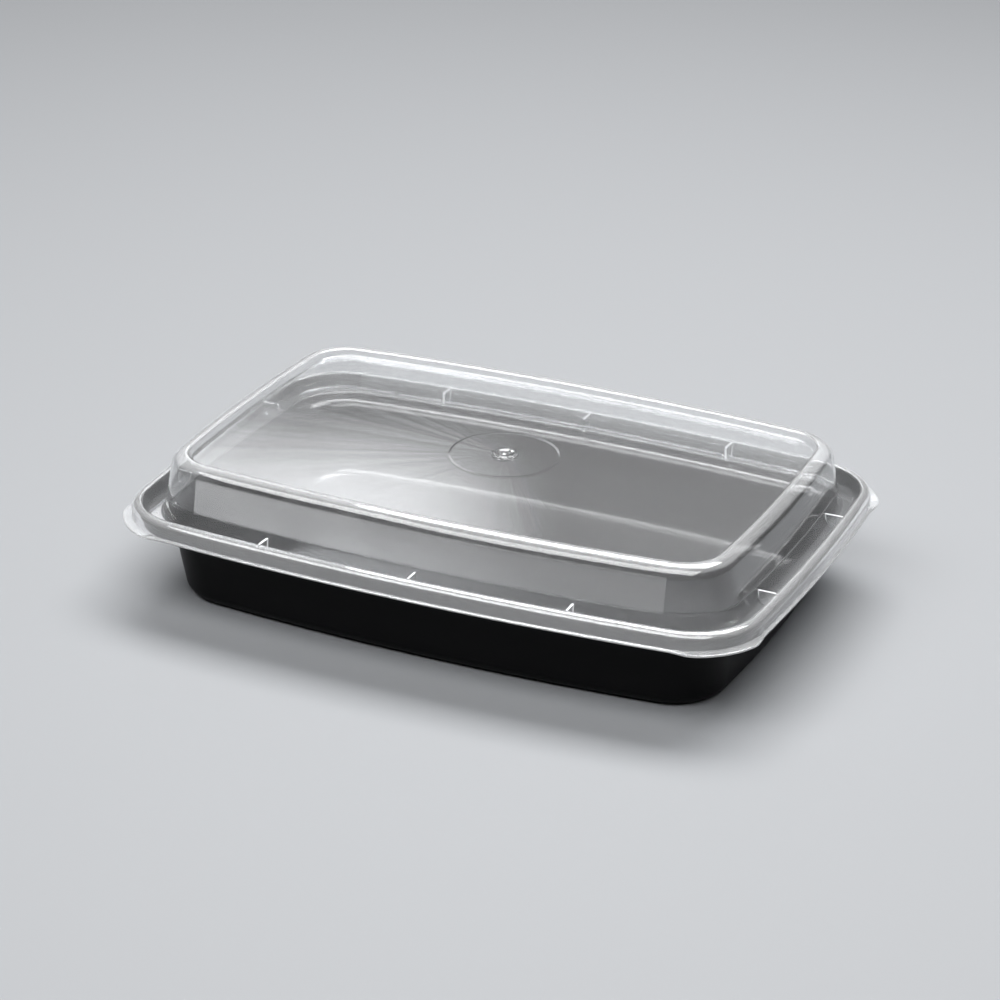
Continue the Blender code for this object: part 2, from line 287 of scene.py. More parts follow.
# Ribs, gate mark and the faint step round it
RIB_DROP = 0.5 * MM
RIB_FOOT_BITE = 0.2 * MM
RIB_HEAD_BITE = 0.3 * MM
LONG_SIDE_RIBS = (-53.0 * MM, 0.0, 53.0 * MM)
SHORT_SIDE_RIBS = (-31.0 * MM, 31.0 * MM)
GATE_HEIGHT = 0.7 * MM
GATE_SECTION = (
    (1.0, 0.7 * MM), (0.97, 0.5 * MM), (0.93, 0.25 * MM), (0.87, 0.07 * MM), (0.78, 0.0), (0.69, 0.05 * MM),
    (0.6, 0.15 * MM), (0.52, 0.32 * MM), (0.45, 0.45 * MM), (0.35, 0.48 * MM), (0.25, 0.45 * MM),
    (0.18, 0.3 * MM), (0.12, 0.2 * MM), (0.05, 0.17 * MM))
FLOW_RING_RISE = 0.03 * MM
FLOW_RING_WIDTH = 0.3 * MM

# Faint round marks: one on the panel and three along the middle of the tray's floor
MARK_RADIUS = 3.9 * MM
MARK_DEPTH = 0.2 * MM
MARK_RISE = 0.08 * MM
MARK_BEVEL = 0.6 * MM
MARK_SEGMENTS = 48
PANEL_MARK = (85.5 * MM, -4.0 * MM)
FLOOR_MARKS = (-51.0 * MM, 0.0, 51.0 * MM)

# Slight waves of the dome's front wall
SLACK_WAVE = 0.07 * MM
SLACK_BULGE = 0.40 * MM
WAVE_LENGTH = 14.0 * MM
BULGE_START = -30.0 * MM
BULGE_RUN = 55.0 * MM
BULGE_LIFT = 0.6
SLACK_FADE = 12.0 * MM
SLACK_END = 84.0 * MM

# Plastics
PLASTIC_IOR = 1.49
BUMP_DISTANCE = 0.01 * MM
SHARP_ANGLE = math.radians(40)
TRAY_LIGHTEST = 1.7
TRAY_SURFACE = {"Unevenness": 0.08, "Skin Scale": 500.0, "Flow": 0.3, "Hairlines": 0.4}
LID_SURFACE = {"Unevenness": 0.03, "Skin Scale": 260.0, "Flow": 0.3, "Hairlines": 0.3}
SHADOW_TINT = (0.86, 0.87, 0.88, 1.0)
# Run along X over which the front wall's colour darkens to the right, as painted shade
RIGHT_SHADE_RUN = (-40.0 * MM, 60.0 * MM)

# Moulded surface: size and detail of its noises, and where the hairlines start
CLOUD_NOISE = {"Scale": 22.0, "Detail": 3.0}
FLOW_NOISE = {"Scale": 9.0, "Detail": 3.0}
HAIR_NOISE = {"Scale": 1.0, "Detail": 1.0}
SKIN_DETAIL = 2.0
HAIR_TURN = (0.0, 0.0, math.radians(31))
HAIR_STRETCH = (14.0, 900.0, 60.0)
HAIR_START = 0.68

# Softboxes: place, then width and depth
TOP_SOFTBOX = ((0.0, 0.45, 1.05), (1.1, 0.55))
FRONT_SOFTBOX = ((0.0, -0.57, 1.03), (1.7, 0.66))
SOFTBOX_TARGET = (0.0, 0.0, 0.03)

# Glows in the room's light, in degrees: turn, rise, inner and outer radius. Both fade out below GLOW_BOTTOM.
WIDE_GLOW = (20.0, 26.0, 4.0, 16.0)
LEFT_GLOW = (28.6, 25.8, 0.0, 5.0)
GLOW_BOTTOM = (22.8, 24.8)
ROOM_TINT = (0.96, 0.975, 1.0, 1.0)

# Floor, and how often light may bounce
FLOOR_HALF_SIZE = 3.0
FLOOR_MOTTLE_SCALE = 6.0
FLOOR_DARKEST = 0.98
FLOOR_ROUGHNESS = 0.7
MAX_BOUNCES = 24
CLEAR_BOUNCES = 20
SENSOR_WIDTH = 36.0


def side_arc(half_chord, bow):
    """Radius and half angle of a bowed side."""
    radius = (half_chord ** 2 + bow ** 2) / (2 * bow)
    return radius, math.asin(half_chord / radius)


def eased(share):
    """Smooth step from 0 to 1."""
    share = min(1.0, max(0.0, share))
    return share * share * (3 - 2 * share)


class Outline:
    """Bowed rectangle with round corners, drawn at any inset from the flange's outer edge."""

    def __init__(self, sizes):
        self.sizes = sizes

    def quarter(self, inset, extra, tabbed):
        """Points from the middle of the +X side to the middle of the +Y side."""
        sizes = self.sizes
        radius = sizes.corner_radius - inset + extra
        corner_x = sizes.length / 2 - sizes.corner_radius - sizes.short_bow - extra
        corner_y = sizes.width / 2 - sizes.corner_radius - sizes.long_bow - extra
        short_radius, short_angle = side_arc(corner_y, sizes.short_bow)
        long_radius, long_angle = side_arc(corner_x, sizes.long_bow)
        short_middle = corner_x + sizes.short_bow - short_radius
        long_middle = corner_y + sizes.long_bow - long_radius
        points = []
        steps = SHORT_SIDE_SEGMENTS // 2
        reach = short_radius + radius
        for step in range(steps):
            turn = short_angle * step / steps
            points.append((short_middle + reach * math.cos(turn), reach * math.sin(turn)))
        start, end = short_angle, math.pi / 2 - long_angle
        for step in range(CORNER_SEGMENTS + 1):
            share = step / CORNER_SEGMENTS
            turn = start + (end - start) * share
            reach = radius
            if tabbed:
                reach += sizes.tab_reach * eased(min(share, 1 - share) / TAB_BLEND)
            points.append((corner_x + reach * math.cos(turn), corner_y + reach * math.sin(turn)))
        steps = LONG_SIDE_SEGMENTS // 2
        reach = long_radius + radius
        for step in range(1, steps + 1):
            turn = long_angle * (1 - step / steps)
            points.append((reach * math.sin(turn), long_middle + reach * math.cos(turn)))
        return points

    def loop(self, inset, height, extra=0.0, tabbed=False):
        """Closed loop of points at a height, anticlockwise from the middle of the +X side."""
        first = self.quarter(inset, extra, tabbed)
        half = first + [(-x, y) for x, y in reversed(first[:-1])]
        flat = half + [(-x, -y) for x, y in half[1:-1]]
        return [(x, y, height) for x, y in flat]


def arc(inset, height, radius, start, end, steps):
    """Section points on an arc. Angle 0 points outwards and 90 up."""
    points = []
    for step in range(steps + 1):
        turn = math.radians(start + (end - start) * step / steps)
        points.append((inset - radius * math.cos(turn), height + radius * math.sin(turn)))
    return points


def sheet_offset(section, thickness):
    """The section's other face, on the right-hand side of a walk outwards from the middle."""
    moved = []
    for index, (inset, height) in enumerate(section):
        directions = []
        for first, second in ((index - 1, index), (index, index + 1)):
            if first < 0 or second >= len(section):
                continue
            run = section[first][0] - section[second][0]
            rise = section[second][1] - section[first][1]
            size = math.hypot(run, rise)
            directions.append((run / size, rise / size))
        run = sum(item[0] for item in directions)
        rise = sum(item[1] for item in directions)
        size = math.hypot(run, rise)
        run, rise = run / size, rise / size
        lean = run * directions[0][0] + rise * directions[0][1]
        moved.append((inset - rise * thickness / lean, height - run * thickness / lean))
    return moved


def round_loop(guide, radius, height):
    """Circle whose points lie in the same directions as those of a guide loop."""
    points = []
    for x, y, _ in guide:
        turn = math.atan2(y, x)
        points.append((radius * math.cos(turn), radius * math.sin(turn), height))
    return points


def blended(first, second, share):
    """Loop part of the way from one loop to another."""
    return [tuple(a + (b - a) * share for a, b in zip(p, q)) for p, q in zip(first, second)]


def wall_slot(index, count):
    """Plastic of a wall's face: milky on the long sides as painted light, and clear at the corners and short
    sides, which show darker as painted shade.
    """
    place = index % (count // 2)
    if min(place, count // 2 - 1 - place) < SHORT_SIDE_SEGMENTS // 2 + CORNER_SEGMENTS:
        return CLEAR_SLOT
    return BACK_SLOT if index < count // 2 else WALL_SLOT


def loft(name, stretches, materials):
    """Closed smooth body through stretches of loops, with a fan at each end.

    A stretch is its loops and the number of the material that leads up to them.
    """
    mesh = bmesh.new()
    rings, slots = [], []
    for loops, slot in stretches:
        rings += [[mesh.verts.new(point) for point in loop] for loop in loops]
        slots += [slot] * len(loops)
    count = len(rings[0])
    for ring, following, slot in zip(rings, rings[1:], slots[1:]):
        for index in range(count):
            beside = (index + 1) % count
            face = mesh.faces.new((ring[index], ring[beside], following[beside], following[index]))
            face.material_index = wall_slot(index, count) if slot == WALL_SLOT else slot
    for ring, slot in ((rings[0], slots[0]), (rings[-1], slots[-1])):
        middle = sum((vertex.co for vertex in ring), Vector()) / count
        tip = mesh.verts.new(middle)
        for index in range(count):
            face = mesh.faces.new((ring[index], ring[(index + 1) % count], tip))
            face.material_index = slot
    bmesh.ops.recalc_face_normals(mesh, faces=mesh.faces)
    return object_from(name, mesh, materials)


def object_from(name, mesh, materials):
    """Smooth shaded object made of a bmesh, with its materials."""
    data = bpy.data.meshes.new(name)
    for material in materials:
        data.materials.append(material)
    mesh.to_mesh(data)
    mesh.free()
    data.shade_smooth()
    item = bpy.data.objects.new(name, data)
    bpy.context.scene.collection.objects.link(item)
    return item


def lid_section(sizes):
    """Upper face of the lid in parts: five from the panel to the dome wall's foot, then plug and rim.

    A part's plastic starts where it joins the part before it.
    """
    panel_height = sizes.crest - sizes.panel_drop
    groove = sizes.flange + sizes.groove_rise
    rim = sizes.flange + sizes.rim_rise
    middle = [(PANEL_FOOT_INSET + FLAT_RUN, panel_height)]
    panel = arc(PANEL_FOOT_INSET, panel_height + CREST_INNER_ROUND, CREST_INNER_ROUND,
                -90, -CREST_INNER_SLOPE, SMALL_STEPS)
    crest = arc(CREST_INSET + CREST_FLAT, sizes.crest - CREST_INNER_ROUND, CREST_INNER_ROUND,
                180 - CREST_INNER_SLOPE, 90, SMALL_STEPS)
    shoulder = arc(CREST_INSET, sizes.crest - CREST_ROUND, CREST_ROUND,
                   CREST_TOP_ANGLE, DOME_WALL_LEAN, SHOULDER_STEPS)
    foot = arc(DOME_FOOT_INSET - GROOVE_ROUND, groove + GROOVE_ROUND, GROOVE_ROUND,
               180 + DOME_WALL_LEAN, 270, GROOVE_STEPS)
    wall = []
    for step in range(1, WALL_STEPS):
        share = step / WALL_STEPS
        wall.append(tuple(a + (b - a) * share for a, b in zip(shoulder[-1], foot[0])))
    ridge_height = rim + MILK_MARGIN
    milky = [spot for spot in wall if spot[1] > ridge_height + RIDGE_HALF]
    plain = [spot for spot in wall if spot[1] < ridge_height - RIDGE_HALF]
    lean = math.tan(math.radians(DOME_WALL_LEAN))
    ridge = []
    for share, out in RIDGE_SECTION:
        height = ridge_height - share * RIDGE_HALF
        ridge.append((foot[0][0] + (height - foot[0][1]) * lean - out, height))
    dome = (middle + panel, crest + shoulder[:CREST_STEPS], shoulder[CREST_STEPS:BAND_STEPS],
            shoulder[BAND_STEPS:] + milky, ridge + plain + foot)
    plug = arc(PLUG_FOOT_INSET + GROOVE_ROUND, groove + GROOVE_ROUND, GROOVE_ROUND,
               -90, -PLUG_LEAN, SMALL_STEPS)
    top = arc(PLUG_TOP_INSET - RIM_INNER_ROUND, rim - RIM_INNER_ROUND, RIM_INNER_ROUND,
              180 - PLUG_LEAN, 90, SMALL_STEPS)
    outer = arc(SKIRT_INSET + RIM_OUTER_ROUND, rim - RIM_OUTER_ROUND, RIM_OUTER_ROUND, 90, 0, RIM_STEPS)
    skirt = [(SKIRT_INSET - SKIRT_FLARE, sizes.flange + LIP_HEIGHT)]
    return dome, (plug, top[:1], top[1:] + outer + skirt)


def panel_loops(sizes, edge, height, dressed):
    """Loops of the panel from its middle out to its edge, with gate mark and flow ring if dressed."""
    inner = sizes.flow_ring_radius
    loops = []
    if dressed:
        crown = height + GATE_HEIGHT
        for share, drop in reversed(GATE_SECTION):
            loops.append(round_loop(edge, sizes.gate_radius * share, crown - drop + FLOW_RING_RISE))
        foot = round_loop(edge, sizes.gate_radius + FLOW_RING_WIDTH, height + FLOW_RING_RISE)
        ring = round_loop(edge, inner - FLOW_RING_WIDTH, height + FLOW_RING_RISE)
        loops.append(foot)
        for step in range(1, RING_STEPS + 1):
            loops.append(blended(foot, ring, step / RING_STEPS))
        loops.append(round_loop(edge, inner, height + FLOW_RING_RISE))
        loops.append(round_loop(edge, inner + FLOW_RING_WIDTH, height))
    outer_ring = round_loop(edge, inner + 2 * FLOW_RING_WIDTH, height)
    loops.append(outer_ring)
    for step in range(1, PANEL_STEPS):
        loops.append(blended(outer_ring, edge, step / PANEL_STEPS))
    return loops


def wall_share(sizes, height):
    """How far down the dome wall a height is, from 0 at the crest to 1 at the groove."""
    top, bottom = sizes.crest - CREST_INNER_ROUND, sizes.flange + sizes.groove_rise
    return min(1.0, max(0.0, (top - height) / (top - bottom)))


def slackened(loop, share):
    """Loop of the dome wall, moved by the slight waves of a thin moulded sheet along its front."""
    moved = []
    for x, y, z in loop:
        end = eased((SLACK_END - abs(x)) / SLACK_FADE) if y < 0 else 0.0
        wave = SLACK_WAVE * math.sin(x / WAVE_LENGTH) + SLACK_BULGE * eased((x - BULGE_START) / BULGE_RUN)
        moved.append((x, y - wave * end * math.sin(math.pi * share ** BULGE_LIFT), z))
    return moved


def lid_stretches(sizes):
    """The lid's sheet in stretches of loops: outwards over its upper face, then back under it."""
    line = Outline(sizes)
    dome, rim = lid_section(sizes)
    parts = dome + rim
    upper = sum(parts, [])
    lower = sheet_offset(upper, sizes.lid_wall)
    dome_length = sum(len(part) for part in dome)
    extras = [DOME_CORNER_EXTRA] * dome_length + [RIM_CORNER_EXTRA] * (len(upper) - dome_length)
    over = [line.loop(inset, height, extra) for (inset, height), extra in zip(upper, extras)]
    under = [line.loop(inset, height, extra) for (inset, height), extra in zip(lower, extras)]
    for index in range(dome_length):
        share = wall_share(sizes, upper[index][1])
        if index >= len(dome[0]) + CREST_STEPS:
            over[index], under[index] = slackened(over[index], share), slackened(under[index], share)
    lip_top = sizes.flange + LIP_THICKNESS
    over.append(line.loop(LIP_EDGE_RUN, lip_top + LIP_EDGE, RIM_CORNER_EXTRA, True))
    over.append(line.loop(0.0, lip_top - LIP_EDGE, RIM_CORNER_EXTRA, True))
    skirt_inside = SKIRT_INSET + sizes.lid_wall
    under[-1] = line.loop(skirt_inside, sizes.flange + SKIRT_FOOT_BEVEL, RIM_CORNER_EXTRA)
    under.append(line.loop(skirt_inside - SKIRT_FOOT_BEVEL, sizes.flange, RIM_CORNER_EXTRA))
    under.append(line.loop(0.0, sizes.flange, RIM_CORNER_EXTRA, True))
    top_panel = panel_loops(sizes, over[0], over[0][0][2], True)
    under_panel = panel_loops(sizes, under[0], under[0][0][2], False)
    slots = sum(([slot] * len(part) for part, slot in zip(parts, LID_SLOTS)), [])
    over_slots = slots + [slots[-1]] * (len(over) - len(slots))
    under_slots = slots + [slots[-1]] * (len(under) - len(slots))
    stretches = [(top_panel, CLEAR_SLOT)]
    stretches += [([loop], slot) for loop, slot in zip(over, over_slots)]
    stretches += [([loop], slot) for loop, slot in zip(under[::-1], under_slots[::-1])]
    return stretches + [(under_panel[::-1], CLEAR_SLOT)]


def wall_middle(sizes, height):
    """Inset of the middle of the dome wall's sheet at a height."""
    rise = height - sizes.flange - sizes.groove_rise
    return DOME_FOOT_INSET + rise * math.tan(math.radians(DOME_WALL_LEAN)) + sizes.lid_wall / 2


def make_rib(sizes, name, place, along_long_side, sign, materials):
    """Thin upright plate across the groove, square to the side it stands on."""
    bottom = sizes.flange + sizes.groove_rise - sizes.lid_wall / 2
    top = sizes.flange + sizes.rim_rise - RIB_DROP
    profile = ((wall_middle(sizes, bottom), bottom), (PLUG_FOOT_INSET - RIB_FOOT_BITE, bottom),
               (PLUG_TOP_INSET - RIB_HEAD_BITE, top), (wall_middle(sizes, top), top))
    half_chord = sizes.length / 2 if along_long_side else sizes.width / 2
    bow = sizes.long_bow if along_long_side else sizes.short_bow
    reach = sizes.width / 2 if along_long_side else sizes.length / 2
    radius, angle = side_arc(half_chord, bow)
    lean = angle * place / half_chord
    drop = reach - radius * (1 - math.cos(lean))
    mesh = bmesh.new()
    faces = []
    for side in (-0.5, 0.5):
        ring = []
        for inset, height in profile:
            out = drop - inset * math.cos(lean) - side * sizes.rib_thickness * math.sin(lean)
            along = place - inset * math.sin(lean) + side * sizes.rib_thickness * math.cos(lean)
            spot = (along, sign * out) if along_long_side else (sign * out, along)
            ring.append(mesh.verts.new((*spot, height)))
        faces.append(ring)
    for index in range(4):
        beside = (index + 1) % 4
        mesh.faces.new((faces[0][index], faces[0][beside], faces[1][beside], faces[1][index]))
    for face in mesh.faces:
        face.material_index = RIB_SLOT
    mesh.faces.new(faces[0])
    mesh.faces.new(faces[1])
    bmesh.ops.recalc_face_normals(mesh, faces=mesh.faces)
    return object_from(name, mesh, materials)


def make_mark(name, place, height, materials):
    """Thin round pad that stands slightly out of a flat sheet at a height."""
    mesh = bmesh.new()
    bmesh.ops.create_cone(
        mesh, cap_ends=True, segments=MARK_SEGMENTS, radius1=MARK_RADIUS, radius2=MARK_RADIUS - MARK_BEVEL,
        depth=MARK_DEPTH, matrix=Matrix.Translation((*place, height + MARK_RISE - MARK_DEPTH / 2)))
    return object_from(name, mesh, materials)


def join_by_union(body, additions):
    """Union the additions into the body with one Boolean, then remove them."""
    group = bpy.data.collections.new(body.name + "_additions")
    bpy.context.scene.collection.children.link(group)
    for item in additions:
        bpy.context.scene.collection.objects.unlink(item)
        group.objects.link(item)
    modifier = body.modifiers.new("union", "BOOLEAN")
    modifier.operation = "UNION"
    modifier.solver = "MANIFOLD"
    modifier.operand_type = "COLLECTION"
    modifier.collection = group
    bpy.context.view_layer.update()
    result = bpy.data.meshes.new_from_object(body.evaluated_get(bpy.context.evaluated_depsgraph_get()))
    body.modifiers.clear()
    body.data = result
    for item in additions:
        bpy.data.objects.remove(item, do_unlink=True)
    bpy.data.collections.remove(group)


def tray_wall_inset(sizes, height):
    """Inset of the tray wall's inner face at a height."""
    return TRAY_WALL_INSET + sizes.tray_wall + TRAY_DRAFT * (sizes.flange - height)


def tray_section(sizes):
    """Inner face of the tray in two stretches: floor, wall and ledge, then rim and turned-out lip."""
    lean = math.degrees(math.atan(TRAY_DRAFT))
    floor = sizes.tray_wall
    ledge_height = sizes.flange - sizes.ledge_drop
    round_middle = floor + TRAY_EDGE_ROUND
    round_inset = tray_wall_inset(sizes, round_middle) + TRAY_EDGE_ROUND
    cup = [(round_inset + FLAT_RUN, floor)]
    cup += arc(round_inset, round_middle, TRAY_EDGE_ROUND, -90, -lean, TRAY_EDGE_STEPS)
    ledge_middle = ledge_height - LEDGE_ROUND
    cup += arc(tray_wall_inset(sizes, ledge_middle) - LEDGE_ROUND, ledge_middle, LEDGE_ROUND,
               180 - lean, 90, TRAY_EDGE_STEPS)
    rim_foot = PLUG_FOOT_INSET - sizes.lid_wall - sizes.fit_gap
    rim_head = PLUG_TOP_INSET - sizes.lid_wall - sizes.fit_gap
    rim = arc(rim_foot + TRAY_RIM_ROUND, ledge_height + TRAY_RIM_ROUND, TRAY_RIM_ROUND,
              -90, -TRAY_RIM_LEAN, SMALL_STEPS)
    head_top = sizes.flange + sizes.rim_rise - sizes.lid_wall - sizes.fit_gap
    rim += arc(rim_head - TRAY_HEAD_ROUND, head_top - TRAY_HEAD_ROUND, TRAY_HEAD_ROUND,
               180 - TRAY_RIM_LEAN, 90, HEAD_STEPS)
    lip_out = SKIRT_INSET + sizes.lid_wall + sizes.fit_gap
    rim += [(lip_out + TRAY_LIP_RUN, head_top), (lip_out + TRAY_LIP_END, head_top - TRAY_LIP_DROP)]
    return cup, rim


def tray_stretches(sizes):
    """The tray's sheet in stretches of loops: outwards over its inner face, then back under it."""
    line = Outline(sizes)
    cup, rim = tray_section(sizes)
    upper = cup + rim
    lower = sheet_offset(upper, sizes.tray_wall)
    ledge_height = sizes.flange - sizes.ledge_drop
    extras = [TRAY_CORNER_EXTRA * (ledge_height - height) / ledge_height for _, height in cup]
    extras += [RIM_CORNER_EXTRA] * len(rim)
    over = [line.loop(inset, height, extra) for (inset, height), extra in zip(upper, extras)]
    under = [line.loop(inset, height, extra) for (inset, height), extra in zip(lower, extras)]
    return (over, INSIDE_SLOT), (under[::-1], OUTSIDE_SLOT)


class Nodes:
    """Short way to place and link nodes in one tree."""

    def __init__(self, tree):
        self.tree = tree

    def add(self, kind, **values):
        """New node, with settings given by attribute name."""
        node = self.tree.nodes.new(kind)
        for key, value in values.items():
            setattr(node, key, value)
        return node

    def link(self, source, target):
        """Link one socket to another."""
        self.tree.links.new(source, target)

    def noise(self, vector, dimensions="3D", **values):
        """Noise texture node with its values, read at a vector, or at a number where it has one dimension."""
        node = self.add("ShaderNodeTexNoise", noise_dimensions=dimensions)
        for name, value in values.items():
            node.inputs[name].default_value = value
        self.link(vector, node.inputs["W" if dimensions == "1D" else "Vector"])
        return node

    def math(self, operation, first, second=None):
        """Math node whose inputs are sockets or numbers. Returns its output."""
        node = self.add("ShaderNodeMath", operation=operation)
        for socket, value in zip(node.inputs, (first, second)):
            if value is None:
                continue
            if isinstance(value, bpy.types.NodeSocket):
                self.link(value, socket)
            else:
                socket.default_value = value
        return node.outputs[0]


def moulded_surface_group():
    """Node group for moulded plastic: uneven gloss, fine skin, flow lines from the gate and hairlines."""
    tree = bpy.data.node_groups.new("moulded_surface", "ShaderNodeTree")
    face = tree.interface
    for name in ("Roughness", "Unevenness", "Skin Scale", "Skin", "Flow", "Hairlines"):
        face.new_socket(name, in_out="INPUT", socket_type="NodeSocketFloat")
    for name in ("Roughness", "Height", "Cloud"):
        face.new_socket(name, in_out="OUTPUT", socket_type="NodeSocketFloat")
    nodes = Nodes(tree)
    inputs = nodes.add("NodeGroupInput").outputs
    outputs = nodes.add("NodeGroupOutput").inputs
    place = nodes.add("ShaderNodeTexCoord").outputs["Object"]
    cloud = nodes.noise(place, **CLOUD_NOISE)
    centred = nodes.math("SUBTRACT", cloud.outputs["Fac"], 0.5)
    uneven = nodes.math("MULTIPLY", centred, inputs["Unevenness"])
    skin = nodes.noise(place, Detail=SKIN_DETAIL)
    nodes.link(inputs["Skin Scale"], skin.inputs["Scale"])
    split = nodes.add("ShaderNodeSeparateXYZ")
    nodes.link(place, split.inputs[0])
    turn = nodes.math("ARCTAN2", split.outputs["Y"], split.outputs["X"])
    flow = nodes.noise(turn, dimensions="1D", **FLOW_NOISE)
    stretch = nodes.add("ShaderNodeMapping")
    stretch.inputs["Rotation"].default_value = HAIR_TURN
    stretch.inputs["Scale"].default_value = HAIR_STRETCH
    nodes.link(place, stretch.inputs["Vector"])
    hair = nodes.noise(stretch.outputs[0], **HAIR_NOISE)
    thin = nodes.math("MAXIMUM", nodes.math("SUBTRACT", hair.outputs["Fac"], HAIR_START), 0.0)
    lines = nodes.math("MULTIPLY", thin, inputs["Hairlines"])
    rough = nodes.math("ADD", inputs["Roughness"], uneven)
    nodes.link(nodes.math("ADD", rough, lines), outputs["Roughness"])
    height = nodes.math("MULTIPLY", skin.outputs["Fac"], inputs["Skin"])
    waves = nodes.math("MULTIPLY", flow.outputs["Fac"], inputs["Flow"])
    nodes.link(nodes.math("ADD", height, waves), outputs["Height"])
    nodes.link(cloud.outputs["Fac"], outputs["Cloud"])
    return tree


def new_material(name):
    """Empty node material. Returns it with its node helper and Principled shader."""
    material = bpy.data.materials.new(name)
    material.use_nodes = True
    nodes = Nodes(material.node_tree)
    return material, nodes, material.node_tree.nodes["Principled BSDF"]


def place_group(nodes, tree, values):
    """Shader node group in a material, with its values."""
    node = nodes.add("ShaderNodeGroup", node_tree=tree)
    for name, value in values.items():
        node.inputs[name].default_value = value
    return node


def tinted(nodes, factor, low, high):
    """Colour between two ends, by a factor that varies over the surface."""
    mix = nodes.add("ShaderNodeMix", data_type="RGBA")
    nodes.link(factor, mix.inputs[0])
    mix.inputs[6].default_value = low
    mix.inputs[7].default_value = high
    return mix.outputs[2]


def scaled(colour, share):
    """Opaque colour at a share of another's brightness."""
    return tuple(min(1.0, channel * share) for channel in colour[:3]) + (1.0,)


def bumped(nodes, height, shader):
    """Bump a shader's normal by a height."""
    bump = nodes.add("ShaderNodeBump")
    bump.inputs["Distance"].default_value = BUMP_DISTANCE
    bump.inputs["Strength"].default_value = 1.0
    nodes.link(height, bump.inputs["Height"])
    nodes.link(bump.outputs[0], shader.inputs["Normal"])


def black_plastic(name, colours, surface, roughness, shine, share, skin):
    """Black polypropylene of the tray, at a roughness, a shine, a share of the tray's colour and a skin."""
    material, nodes, shader = new_material(name)
    group = place_group(nodes, surface, {**TRAY_SURFACE, "Roughness": roughness, "Skin": skin})
    colour = scaled(colours.tray_colour, share)
    lighter = scaled(colour, TRAY_LIGHTEST)
    nodes.link(tinted(nodes, group.outputs["Cloud"], colour, lighter), shader.inputs["Base Color"])
    nodes.link(group.outputs["Roughness"], shader.inputs["Roughness"])
    shader.inputs["Metallic"].default_value = 0.0
    shader.inputs["IOR"].default_value = PLASTIC_IOR
    shader.inputs["Specular IOR Level"].default_value = shine
    bumped(nodes, group.outputs["Height"], shader)
    return material


def clear_plastic(name, colours, surface, clearness, skin=0.03, dullest_tone_and_shade=0.95, shade_to_right=False):
    """Clear, slightly milky polypropylene of the lid; if asked, its colour darkens towards the right as
    painted shade.

    Lamps reach what is under it, because it is transparent to shadow rays.
    """
    material, nodes, shader = new_material(name)
    group = place_group(nodes, surface, {**LID_SURFACE, "Roughness": colours.lid_roughness, "Skin": skin})
    tint = tuple(colours.lid_colour)
    dull_and_shaded_tint = scaled(tint, dullest_tone_and_shade)
    share = group.outputs["Cloud"]
    # Painted shade: towards the right along X the colour moves to its dull end
    if shade_to_right:
        split = nodes.add("ShaderNodeSeparateXYZ")
        nodes.link(nodes.add("ShaderNodeTexCoord").outputs["Object"], split.inputs[0])
        fade = soft_step(nodes, split.outputs["X"], *RIGHT_SHADE_RUN, 1.0)
        share = nodes.math("MULTIPLY", nodes.math("SUBTRACT", 1.0, fade), share)
    nodes.link(tinted(nodes, share, dull_and_shaded_tint, tint), shader.inputs["Base Color"])
    nodes.link(group.outputs["Roughness"], shader.inputs["Roughness"])
    shader.inputs["Metallic"].default_value = 0.0
    shader.inputs["IOR"].default_value = PLASTIC_IOR
    shader.inputs["Transmission Weight"].default_value = clearness
    bumped(nodes, group.outputs["Height"], shader)
    path = nodes.add("ShaderNodeLightPath")
    clear = nodes.add("ShaderNodeBsdfTransparent")
    clear.inputs["Color"].default_value = SHADOW_TINT
    mix = nodes.add("ShaderNodeMixShader")
    nodes.link(path.outputs["Is Shadow Ray"], mix.inputs[0])
    nodes.link(shader.outputs[0], mix.inputs[1])
    nodes.link(clear.outputs[0], mix.inputs[2])
    output = material.node_tree.nodes["Material Output"]
    nodes.link(mix.outputs[0], output.inputs["Surface"])
    return material


def surface_group():
    """The moulded surface node group, built once."""
    return bpy.data.node_groups.get("moulded_surface") or moulded_surface_group()


def dress(item, node):
    """Give a piece even normals, and tie it to the CAD node that it stands for."""
    item.data.set_sharp_from_angle(angle=SHARP_ANGLE)
    item.modifiers.new("even_normals", "WEIGHTED_NORMAL").keep_sharp = True
    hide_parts(node)
    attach(item, "root")


class CONTAINER_OT_build_tray(bpy.types.Operator):
    """Build the black tray with the round marks on its floor."""

    bl_idname = "container.build_tray"
    bl_label = "Build Tray"

    def execute(self, context):
        sizes = context.scene.container_sizes
        colours, surface = context.scene.container_colours, surface_group()
        materials = (
            black_plastic("black_plastic_inside", colours, surface,
                          colours.tray_roughness, shine=1.0, share=0.5, skin=0.05),
            # Painted shade: the outside takes a darker share of the tray's colour than the inside
            black_plastic("black_plastic_outside", colours, surface,
                          colours.tray_outer_roughness, shine=0.10, share=0.4, skin=0.25))
        item = loft("tray_shell", tray_stretches(sizes), materials)
        marks = []
        for number, place in enumerate(FLOOR_MARKS):
            marks.append(make_mark(f"floor_mark_{number}", (place, 0.0), sizes.tray_wall, materials))
        join_by_union(item, marks)
        dress(item, "tray")
        return {"FINISHED"}


